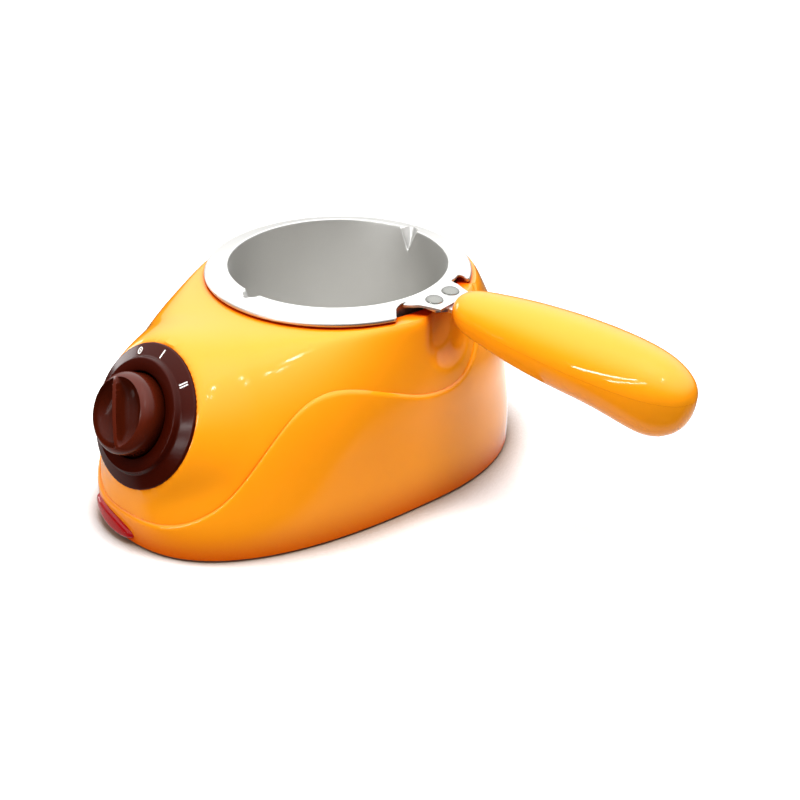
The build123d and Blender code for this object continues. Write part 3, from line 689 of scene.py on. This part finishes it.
lens_points, lens_faces = lens_grid()
make_piece("lens", lens_points, lens_faces, clear_red_acrylic, "base", ["lamp_lens"])

# %% [markdown]
# ## Pot
# The pot is spun from sheet a little over a millimetre thick: a tapered bowl, a flange that slopes outwards and a
# rolled bead. Two pouring lips are pressed into the mouth. At each angle the lip pushes the wall out to a small cone,
# so the grid bends there and stays one sheet. The flange is cut away each side of the tab that carries the handle.

# %% Pot bowl
RIM, POT_BOTTOM, GAUGE, MOUTH, BASE_R = 88.2, 41.0, 1.2, 45.3, 43.0
FLANGE_R, DROP, BEAD = 55.0, 2.4, 1.2
LIP_DEPTH, LIP_HALF = 10.5, 4.4
LIP_ANGLES = (math.radians(97), math.radians(-90))


def with_lip(angle, radius, height, gauge):
    """The wall's radius where one of the two pouring lips pushes it outwards."""
    reach = gauge + LIP_HALF * np.clip((height - (RIM - LIP_DEPTH)) / LIP_DEPTH, 0, 1)
    from_lip = np.minimum(*(np.abs((angle - lip + math.pi) % PI2 - math.pi) for lip in LIP_ANGLES))
    from_lip = np.minimum(from_lip, math.pi / 2)
    across = radius * np.sin(from_lip)
    inside = np.clip(reach**2 - across**2, 0, None)
    pushed = np.hypot(MOUTH - 0.4 + np.sqrt(inside), across)
    blend = ease(reach + 1.2, reach - 1.8, across) * (reach > gauge + 0.05)
    return radius + blend * np.maximum(pushed - radius, 0)


def flange_height(reach):
    """The top of the sloping flange at a distance from the axis."""
    return RIM - DROP * (reach - MOUTH) / (FLANGE_R - BEAD - MOUTH)


def pot_grid():
    base = np.linspace(-math.pi, math.pi, 241)[:-1]
    close = np.concatenate([lip + np.linspace(-0.16, 0.16, 41) for lip in LIP_ANGLES])
    angles = np.unique(np.round(np.concatenate([base, close]), 5))
    rows = []
    floor_top = POT_BOTTOM + GAUGE
    wall = soften([(0, floor_top), (BASE_R - GAUGE, floor_top), (MOUTH, RIM)], 6.0, 8)
    wall = [p for p in wall if p[1] < floor_top + 8]
    plain, lipped = np.linspace(floor_top + 8, RIM - LIP_DEPTH, 12), np.linspace(RIM - LIP_DEPTH + 0.7, RIM - 0.7, 18)
    for z in np.concatenate([plain, lipped]):
        wall.append((BASE_R - GAUGE + (MOUTH - BASE_R + GAUGE) * (z - floor_top) / (RIM - floor_top), z))
    for r, z in wall:
        rows.append((with_lip(angles, np.full_like(angles, r), z, 0.0), np.full_like(angles, z)))
    inner = with_lip(angles, np.full_like(angles, MOUTH), RIM, 0.0)
    for lift, reach in ((-0.25, 0.08), (-0.06, 0.3), (0.0, 0.6)):
        rows.append((inner + reach, flange_height(inner + reach) + lift))
    for k in range(1, 11):
        r = inner + 0.6 + (FLANGE_R - BEAD - inner - 0.6) * k / 10
        rows.append((r, flange_height(r)))
    for k in range(1, 13):
        turn = math.pi / 2 - k * math.radians(22)
        r, z = FLANGE_R - BEAD + BEAD * math.cos(turn), RIM - DROP - BEAD + BEAD * math.sin(turn)
        rows.append((np.full_like(angles, r), np.full_like(angles, z)))
    under = with_lip(angles, np.full_like(angles, MOUTH + GAUGE), RIM, GAUGE)
    for k in range(1, 7):
        r = FLANGE_R - 2.2 * BEAD + (under - FLANGE_R + 2.2 * BEAD) * k / 6
        rows.append((r, flange_height(r) - GAUGE))
    outside = [
        (MOUTH + GAUGE - (MOUTH + GAUGE - BASE_R) * (RIM - z) / (RIM - POT_BOTTOM), z)
        for z in np.linspace(RIM - GAUGE - 1, RIM - LIP_DEPTH - 2, 10)
    ]
    for r, z in outside + soften([outside[-1], (BASE_R, POT_BOTTOM), (0, POT_BOTTOM)], 7.0, 8)[1:]:
        rows.append((with_lip(angles, np.full_like(angles, r), z, GAUGE), np.full_like(angles, z)))
    points = np.concatenate([np.stack([r * np.cos(angles), r * np.sin(angles), z], -1) for r, z in rows])
    return points, grid_faces(len(rows), len(angles))


OUTWARD = np.array((math.cos(AZIMUTH) * math.cos(DROOP), math.sin(AZIMUTH) * math.cos(DROOP), -math.sin(DROOP)))
UPWARD = np.array((math.cos(AZIMUTH) * math.sin(DROOP), math.sin(AZIMUTH) * math.sin(DROOP), math.cos(DROOP)))
SIDEWARD = np.cross(UPWARD, OUTWARD)
TAB_ORIGIN = np.array((MOUTH * math.cos(AZIMUTH), MOUTH * math.sin(AZIMUTH), RIM - GAUGE))


def on_tab(points):
    return place(np.asarray(points, float), TAB_ORIGIN, OUTWARD, SIDEWARD, UPWARD)


def prism(outline, low, high):
    count = len(outline)
    points = [(x, y, h) for h in (low, high) for x, y in outline]
    faces = [(i, (i + 1) % count, count + (i + 1) % count, count + i) for i in range(count)]
    return points, faces + [tuple(range(count))[::-1], tuple(range(count, 2 * count))]


NOTCH = [
    (30, -46), (4.4, -24.5), (0.2, -19.4), (-0.4, -15.2), (1.3, -12),
    (1.3, 12), (1.4, 17.2), (-0.2, 22.5), (2.6, 24.2), (30, 27),
]
notch_points, notch_faces = prism(soften(NOTCH, 1.6, 6), -25, 25)
notch = make_piece("notch_tool", on_tab(notch_points), notch_faces, spun_aluminium, "pot")
pot_points, pot_faces = pot_grid()
pot = make_piece("pot_bowl", pot_points, pot_faces, spun_aluminium, "pot", ["pot"], 50)


def cut_away(obj, tool):
    cut = obj.modifiers.new("cut", "BOOLEAN")
    cut.object, cut.operation, cut.solver = tool, "DIFFERENCE", "EXACT"
    result = bpy.data.meshes.new_from_object(obj.evaluated_get(bpy.context.evaluated_depsgraph_get()))
    obj.modifiers.clear()
    obj.data = result
    bpy.data.objects.remove(tool)
    print(obj.name, "after the cut:", len(result.polygons))


cut_away(pot, notch)

# %% [markdown]
# The tab grows out of the flange: its sides sweep in from a wide root to the riveted end. It is a plate whose top
# starts at the flange's slope and turns to the handle's droop within a few millimetres.

# %% Handle tab
TAB_EDGE = [
    (0.7, 15.6), (1.8, 14.9), (3.2, 14.2), (5.0, 13.4), (7.0, 12.5), (9.0, 11.7), (11.0, 11.0), (13.0, 10.4), (14.9, 9.9),
]
TAB_START, TAB_END = 0.7, 14.9


def tab_grid():
    rows, columns = 26, 25
    top, low = [], []
    for i in range(rows):
        u = TAB_START + (TAB_END - TAB_START) * i / (rows - 1)
        half = float(np.interp(u, *zip(*TAB_EDGE)))
        for j in range(columns):
            v = half * (2 * j / (columns - 1) - 1)
            point = on_tab([(u, v, GAUGE)])[0]
            share = float(ease(0.5, 7.0, u))
            height = (1 - share) * flange_height(math.hypot(point[0], point[1])) + share * point[2]
            rim_round = 0.18 if j in (0, columns - 1) or i == rows - 1 else 0.0
            top.append((point[0], point[1], height - rim_round))
            low.append((point[0], point[1], height - GAUGE))
    points = top + low
    size = rows * columns
    faces = grid_faces(rows, columns, 0, False) + grid_faces(rows, columns, size, False)
    edge = list(range(columns)) + [i * columns + columns - 1 for i in range(1, rows)]
    edge += [(rows - 1) * columns + j for j in range(columns - 2, -1, -1)] + [i * columns for i in range(rows - 2, 0, -1)]
    faces += [(a, b, size + b, size + a) for a, b in zip(edge, edge[1:] + edge[:1])]
    return np.array(points), faces


tab_points, tab_faces = tab_grid()
make_piece("handle_tab", tab_points, tab_faces, spun_aluminium, "pot")

# %% [markdown]
# ## Handle
# The handle is a long drop of the same orange ABS, moulded in two halves that meet on its middle plane. A step of
# a few hundredths of a millimetre on each half leaves a hint of the parting line along the side.

# %% Handle halves
HANDLE_ROOT, HANDLE_FALL = 15.5, -0.75
PROFILE = np.array([
    (0, 0, 0), (0.7, 3.8, 3.8), (3.4, 6.9, 6.9), (13, 10.2, 10.2), (29, 12.8, 12.8), (50, 14.9, 14.9),
    (74, 15.5, 16.8), (85, 14.9, 19.0), (94, 13.5, 19.8), (103, 10.1, 16.0), (108.4, 5.2, 8.6), (110, 0, 0),
])
HANDLE_KNOTS = np.concatenate([[0], np.cumsum(np.hypot(*np.diff(PROFILE[:, :2], axis=0).T))])
PARTING = 0.03


def handle_half(side):
    t = np.linspace(0, HANDLE_KNOTS[-1], 120)
    lengths, radii, depths = (np.maximum(through(HANDLE_KNOTS, PROFILE[:, k], t), 0) for k in range(3))
    turns = np.linspace(0, math.pi, 61)
    points = []
    for length, radius, tall in zip(lengths, radii, radii if side > 0 else depths):
        points.append((length, max(radius - 0.3, 0), side * PARTING))
        for turn in turns:
            across, high = radius * math.cos(turn), tall * math.sin(turn)
            points.append((length, across, side * max(high, min(PARTING, radius))))
        points.append((length, -max(radius - 0.3, 0), side * PARTING))
    columns = len(turns) + 2
    return on_tab(np.array(points) + (HANDLE_ROOT, 0, HANDLE_FALL)), grid_faces(len(t), columns)


HALVES = (("handle_top", "handle_upper_half", 1), ("handle_under", "handle_lower_half", -1))
for half_name, node_name, side in HALVES:
    half_points, half_faces = handle_half(side)
    make_piece(half_name, half_points, half_faces, orange_abs, "pot", [node_name], 35)

# %% [markdown]
# ## Rivets
# Two dome-headed rivets hold the bracket under the tab. They repeat, so a geometry node tree sets one dome on each
# of the points that it is given, with the dome's radius and height as inputs.

# %% Rivet tree
def point_tree(name):
    tree = bpy.data.node_groups.new(name, "GeometryNodeTree")
    face = tree.interface
    face.new_socket("Geometry", in_out="INPUT", socket_type="NodeSocketGeometry")
    sockets = (("Head radius", "NodeSocketFloat", 3.7 * MM), ("Head height", "NodeSocketFloat", 1.5 * MM),
               ("Tilt", "NodeSocketVector", (0, 0, 0)), ("Metal", "NodeSocketMaterial", None))
    for label, kind, value in sockets:
        socket = face.new_socket(label, in_out="INPUT", socket_type=kind)
        if value is not None:
            socket.default_value = value
    face.new_socket("Geometry", in_out="OUTPUT", socket_type="NodeSocketGeometry")
    given = add(tree, "NodeGroupInput")
    ball = add(tree, "GeometryNodeMeshUVSphere", {"Segments": 40, "Rings": 24, "Radius": 1.0})
    wide, high = given.outputs["Head radius"], given.outputs["Head height"]
    size = add(tree, "ShaderNodeCombineXYZ", {"X": wide, "Y": wide, "Z": high})
    dome = add(tree, "GeometryNodeTransform", {"Geometry": ball.outputs["Mesh"], "Scale": size.outputs["Vector"]})
    shade = add(tree, "GeometryNodeSetShadeSmooth", {"Geometry": dome.outputs["Geometry"]})
    points = add(tree, "GeometryNodeMeshToPoints", {"Mesh": given.outputs["Geometry"]})
    turn = add(tree, "FunctionNodeEulerToRotation", {0: given.outputs["Tilt"]})
    placed = add(tree, "GeometryNodeInstanceOnPoints", {
        "Points": points.outputs["Points"], "Instance": shade.outputs["Geometry"], "Rotation": turn.outputs["Rotation"],
    })
    real = add(tree, "GeometryNodeRealizeInstances", {"Geometry": placed.outputs["Instances"]})
    painted = add(tree, "GeometryNodeSetMaterial", {"Geometry": real.outputs["Geometry"], "Material": given.outputs["Metal"]})
    add(tree, "NodeGroupOutput", {"Geometry": painted.outputs["Geometry"]})
    return tree


rivet_tree = point_tree("rivets_on_points")


def grow_on_points(name, places, tree, inputs, body, nodes):
    seeds = bpy.data.meshes.new(name + "_seeds")
    seeds.from_pydata([tuple(float(c) * MM for c in p) for p in places], [], [])
    obj = bpy.data.objects.new(name, seeds)
    bpy.context.scene.collection.objects.link(obj)
    grow = obj.modifiers.new("grow", "NODES")
    grow.node_group = tree
    for item in tree.interface.items_tree:
        if item.item_type == "SOCKET" and item.in_out == "INPUT" and item.name in inputs:
            grow[item.identifier] = inputs[item.name]
    obj.data = bpy.data.meshes.new_from_object(obj.evaluated_get(bpy.context.evaluated_depsgraph_get()))
    obj.modifiers.clear()
    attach(obj, body)
    if nodes:
        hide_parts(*nodes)
    print(name, "faces:", len(obj.data.polygons))
    return obj


tab_turn = Matrix((OUTWARD, SIDEWARD, UPWARD)).transposed().to_euler()
RIVET_OUT, RIVET_SIDE = 8.3, 5.3
rivet_places = on_tab([(RIVET_OUT, side * RIVET_SIDE, GAUGE - 0.1) for side in (-1, 1)])
rivet_inputs = {"Tilt": tuple(tab_turn), "Metal": rivet_aluminium}
grow_on_points("rivet_heads", rivet_places, rivet_tree, rivet_inputs, "pot", [])

# %% [markdown]
# ## Pieces kept from the engineering model
# The rest keep their CAD shape and only need their finish. Each node is given the material of the real part, from
# the rubber feet to the ceramic heater blocks that show when the pot is lifted out.

# %% Finishes for the CAD nodes
finishes = {
    "bottom_cover": orange_abs, "rubber_feet": moulded_rubber, "cover_screws": plated_steel,
    "switch_shaft": plated_steel, "rotary_switch": black_nylon, "switch_nut": plated_steel,
    "lamp_holder": black_nylon, "neon_lamp": drawn_glass, "heat_shield": pressed_aluminium,
    "insulating_ring": pressed_mica, "heater_plate": turned_aluminium, "plate_screws": plated_steel,
    "heater_blocks": fired_ceramic, "element_clamp": plated_steel, "clamp_screws": plated_steel,
    "thermostat": black_nylon, "thermal_fuse": white_nylon, "terminal_block": white_nylon,
    "cord_gland": moulded_rubber, "cord_clamp": black_nylon, "cord_clamp_screws": plated_steel,
    "handle_bracket": pressed_aluminium, "rivets": rivet_aluminium, "handle_screws": plated_steel,
}
for node_name, finish in finishes.items():
    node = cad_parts[node_name]
    node.data.materials.clear()
    node.data.materials.append(finish)
print("nodes with a finish:", len(finishes))

# %% [markdown]
# ## Studio
# The picture was taken over a white sheet that ends a hand's width in front of the object: the lower wall mirrors
# the sheet and, past a slanting line, the dark room. So a mirror-like ray sees its own sheet as a painted glow, which
# ends at that line, fades to the sides and with the ray's length, and is brighter behind the object. The camera sees
# white paper with a soft brown patch of painted shadow where the object stands near it, and light that bounces finds
# the floor greyer.
# The sky is dim for soft light, white for the camera, and for mirror-like rays it is bright above and behind and
# dark low in front.

# %% Floor and world
SHEET_END = 0.106
SHEET_AHEAD, PAINTED_SHADOW_AHEAD = (0.626, -0.780, 0.0), (-0.45, -0.89, 0.0)
SKY_UP = (-0.1, 0.25, 0.95)
WHITE = (1, 1, 1, 1)


def distance_along(tree, place, direction):
    made = add(tree, "ShaderNodeVectorMath", {0: place, 1: direction}, operation="DOT_PRODUCT")
    return made.outputs["Value"]


def white_floor():
    material, tree = start_material("painted_board")
    ray = add(tree, "ShaderNodeLightPath").outputs
    place = add(tree, "ShaderNodeTexCoord").outputs["Object"]
    reach = add(tree, "ShaderNodeVectorMath", {0: place}, operation="LENGTH").outputs["Value"]
    parts = add(tree, "ShaderNodeSeparateXYZ", {"Vector": place}).outputs

    # painted reflection: for mirror-like rays the floor is a glow that ends ahead, fades with reach and ray length and
    # is brighter behind the object
    forward = distance_along(tree, place, SHEET_AHEAD)
    ahead = ramp(tree, forward, SHEET_END - 0.012, SHEET_END + 0.012, 0.9, 0.05, smooth=True)
    painted_sheet_glow = calculate(tree, "MULTIPLY", ahead, ramp(tree, reach, 0.17, 0.30, 1.0, 0.15, smooth=True))
    painted_sheet_glow = calculate(tree, "MULTIPLY", painted_sheet_glow, ramp(tree, parts["Y"], 0.02, 0.15, 0.7, 2.5))
    painted_sheet_glow = calculate(tree, "MULTIPLY", painted_sheet_glow, ramp(tree, ray["Ray Length"], 0.09, 0.15, 1.0, 0.12))
    mirror = add(tree, "ShaderNodeEmission", {"Color": (1, 0.97, 0.94, 1), "Strength": painted_sheet_glow})

    # painted shadow: a soft brown patch where the ambient occlusion finds the floor closed in, its reach changing with
    # the direction
    openness = add(tree, "ShaderNodeAmbientOcclusion", {"Distance": 34 * MM}, samples=8).outputs["AO"]
    painted_shadow_end = ramp(tree, distance_along(tree, place, PAINTED_SHADOW_AHEAD), 0.01, 0.09, 0.97, 0.78)
    painted_shadow_patch = ramp(tree, openness, 0.45, painted_shadow_end, 1.0, 0.0, smooth=True)
    paper_with_painted_shadow = mix_colours(tree, painted_shadow_patch, linear("#E4E3E4"), linear("#8A7663"))
    seen_colour = mix_colours(tree, ray["Is Camera Ray"], linear("#A4A2A2"), paper_with_painted_shadow)
    paint = add(tree, "ShaderNodeBsdfDiffuse", {"Color": seen_colour})

    near_lift, far_lift = ramp(tree, painted_shadow_patch, 0.0, 1.0, 0.4, 0.0), ramp(tree, reach, 0.3, 1.0, 0.0, 0.9)
    lift = calculate(tree, "MULTIPLY", ray["Is Camera Ray"], calculate(tree, "ADD", near_lift, far_lift))
    lift = add(tree, "ShaderNodeEmission", {"Color": WHITE, "Strength": lift})
    board = add(tree, "ShaderNodeAddShader", {0: paint.outputs[0], 1: lift.outputs[0]})
    shader = add(tree, "ShaderNodeMixShader", {0: ray["Is Glossy Ray"], 1: board.outputs[0], 2: mirror.outputs[0]})
    end_material(tree, shader)
    return material


floor_mesh = bpy.data.meshes.new("floor")
floor_mesh.from_pydata([(-4, -4, 0), (4, -4, 0), (4, 4, 0), (-4, 4, 0)], [], [(0, 1, 2, 3)])
floor_mesh.materials.append(white_floor())
floor = bpy.data.objects.new("floor", floor_mesh)
bpy.context.scene.collection.objects.link(floor)

world = bpy.data.worlds.new("studio")
bpy.context.scene.world = world
world.use_nodes = True
world.node_tree.nodes.clear()
sky = world.node_tree
ray = add(sky, "ShaderNodeLightPath")
seen = calculate(sky, "MAXIMUM", ray.outputs["Is Camera Ray"], ray.outputs["Is Transmission Ray"])
direction = add(sky, "ShaderNodeTexCoord").outputs["Generated"]
room = ramp(sky, distance_along(sky, direction, SKY_UP), -0.1, 0.95, 0.05, 2.7, smooth=True)
dim = add(sky, "ShaderNodeBackground", {"Color": WHITE, "Strength": 0.26})
bright = add(sky, "ShaderNodeBackground", {"Color": WHITE, "Strength": 1.0})
mirrored = add(sky, "ShaderNodeBackground", {"Color": WHITE, "Strength": room})
soft = add(sky, "ShaderNodeMixShader", {0: ray.outputs["Is Glossy Ray"], 1: dim.outputs[0], 2: mirrored.outputs[0]})
mixed = add(sky, "ShaderNodeMixShader", {0: seen, 1: soft.outputs[0], 2: bright.outputs[0]})
add(sky, "ShaderNodeOutputWorld", {"Surface": mixed.outputs[0]})
bpy.context.scene.view_settings.view_transform = "Standard"

# %% [markdown]
# ## Lamps
# Soft boxes light the object from above and from both sides; the shell doesn't mirror them, so they leave no square
# reflections. The other lamps are there for their reflections: a panel on the left, three small spots that put
# the glints beside the dial, and two long strips that draw the highlights along the handle.

# %% Lamps
STRIP_ROLL = math.radians(51.5)


def area_lamp(name, place_mm, aim_mm, size_mm, watts, mirrored=True, roll=0.0):
    data = bpy.data.lights.new(name, "AREA")
    data.shape, data.size, data.size_y, data.energy = "RECTANGLE", size_mm[0] * MM, size_mm[1] * MM, watts
    lamp = bpy.data.objects.new(name, data)
    bpy.context.scene.collection.objects.link(lamp)
    lamp.location = Vector(place_mm) * MM
    aimed = (Vector(aim_mm) - Vector(place_mm)).to_track_quat("-Z", "Y").to_matrix()
    lamp.rotation_euler = (aimed @ Matrix.Rotation(roll, 3, "Z")).to_euler()
    lamp.visible_glossy = mirrored


area_lamp("top_softbox", (170, -60, 900), (0, 0, 40), (500, 500), 12.5, mirrored=False)
area_lamp("left_key", (-560, -420, 560), (0, -20, 50), (300, 300), 1.8, mirrored=False)
area_lamp("right_fill", (620, 420, 240), (0, 30, 40), (300, 300), 1.2, mirrored=False)
area_lamp("left_panel", (-900, -180, 150), (0, -60, 60), (300, 300), 1.6)
area_lamp("spot_round", (750, -375, 1245), (0, 0, 60), (70, 70), 0.5)
area_lamp("spot_left", (810, -540, 1140), (0, 0, 60), (22, 60), 0.13)
area_lamp("spot_right", (885, -465, 1110), (0, 0, 60), (22, 60), 0.13)
area_lamp("handle_strip", (14, -1070, 385), (130, 0, 84), (840, 30), 3.0, roll=STRIP_ROLL)
area_lamp("handle_strip_right", (190, -1060, 385), (130, 0, 84), (840, 22), 2.0, roll=STRIP_ROLL)

# %% [markdown]
# ## Camera
# The photograph was matched by fitting a camera to the ellipses of the mouth, flange and dial. The result is a long
# lens at about nine tenths of a metre, turned 47 degrees round from the front and 27 degrees up.

# %% Camera
CAMERA_TURN, CAMERA_RISE, CAMERA_DISTANCE = math.radians(47.356), math.radians(27.224), 900.0
AIM, AIM_RIGHT, AIM_UP, FOCAL = Vector((0, 0, 50)), 25.508, -23.221, 96.641
level = math.cos(CAMERA_RISE)
back = Vector((math.sin(CAMERA_TURN) * level, -math.cos(CAMERA_TURN) * level, math.sin(CAMERA_RISE)))
right = Vector((math.cos(CAMERA_TURN), math.sin(CAMERA_TURN), 0))
up = back.cross(right)
camera_data = bpy.data.cameras.new("camera")
camera_data.lens, camera_data.sensor_width = FOCAL, 36.0
camera_data.clip_start, camera_data.clip_end = 0.05, 50
camera = bpy.data.objects.new("camera", camera_data)
bpy.context.scene.collection.objects.link(camera)
camera_place = (AIM + right * AIM_RIGHT + up * AIM_UP + back * CAMERA_DISTANCE) * MM
camera.matrix_world = Matrix.Translation(camera_place) @ Matrix((right, up, back)).transposed().to_4x4()
bpy.context.scene.camera = camera
